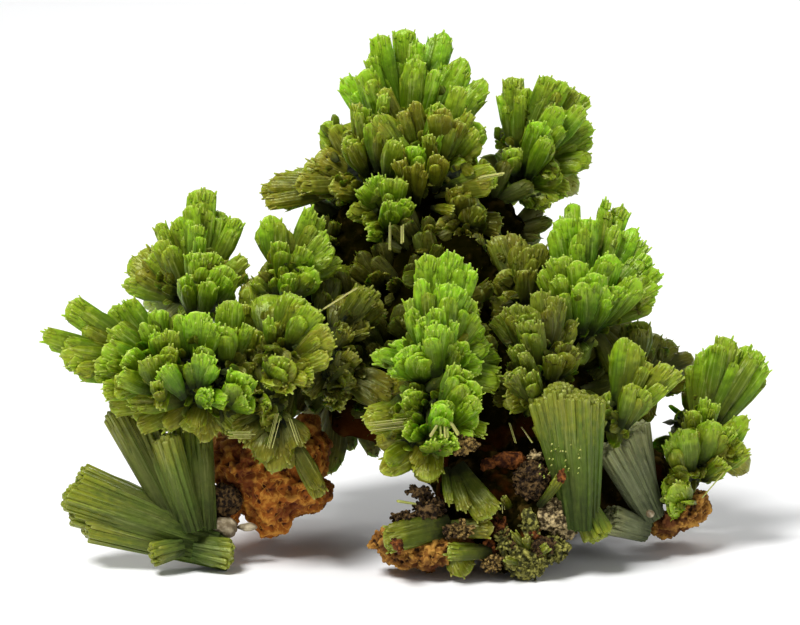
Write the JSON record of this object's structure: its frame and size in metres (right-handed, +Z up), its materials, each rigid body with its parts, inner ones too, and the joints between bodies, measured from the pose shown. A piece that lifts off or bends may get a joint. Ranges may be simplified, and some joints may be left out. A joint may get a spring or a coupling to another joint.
{
  "type": "pyromorphite specimen",
  "caption": "Hand-sized mineral clump: sprays of green pyromorphite crystal sheaves grown over orange limonite and dark gossan rock, resting on its worn feet.",
  "frame": {"origin": "middle of the specimen's footprint, at the level of the feet it rests on", "axes": "+Z up, +X to the right along the width, -Y towards the side that the picture shows"},
  "size_m": [0.072, 0.041, 0.051],
  "materials": {
    "yellow_green_crystal": "glossy, resinous",
    "olive_green_crystal": "resinous",
    "bluish_green_crystal": "satin, finely fluted",
    "limonite": "dull, spongy",
    "gossan": "dull, rough"
  },
  "bodies": {
    "root": {"gossan_core": "gossan", "limonite_block": "limonite", "limonite_ledge_front": "limonite", "limonite_ledge_right": "limonite", "left_front_spray": "yellow_green_crystal", "centre_tower": "yellow_green_crystal", "left_fan": "yellow_green_crystal", "inner_left_spray": "olive_green_crystal", "hanging_sheaf": "olive_green_crystal", "right_front_spray": "olive_green_crystal", "right_trunk": "bluish_green_crystal", "right_side_spray": "yellow_green_crystal", "right_crown": "yellow_green_crystal", "shoulder_spray": "olive_green_crystal", "right_back_spray": "olive_green_crystal", "left_tower": "yellow_green_crystal", "left_middle_spray": "olive_green_crystal", "lower_left_sheaf": "bluish_green_crystal", "left_upright_stalks": "bluish_green_crystal", "crown_spray": "yellow_green_crystal", "small_front_spray": "yellow_green_crystal", "crown_foot_spray": "olive_green_crystal", "crown_branch": "yellow_green_crystal", "far_right_spray": "yellow_green_crystal", "grey_stalks": "bluish_green_crystal", "slanted_sheaf": "olive_green_crystal", "ledge_sheaves": "olive_green_crystal", "back_left_spray": "olive_green_crystal", "back_right_spray": "olive_green_crystal", "back_upper_spray": "olive_green_crystal"}
  },
  "joints": []
}
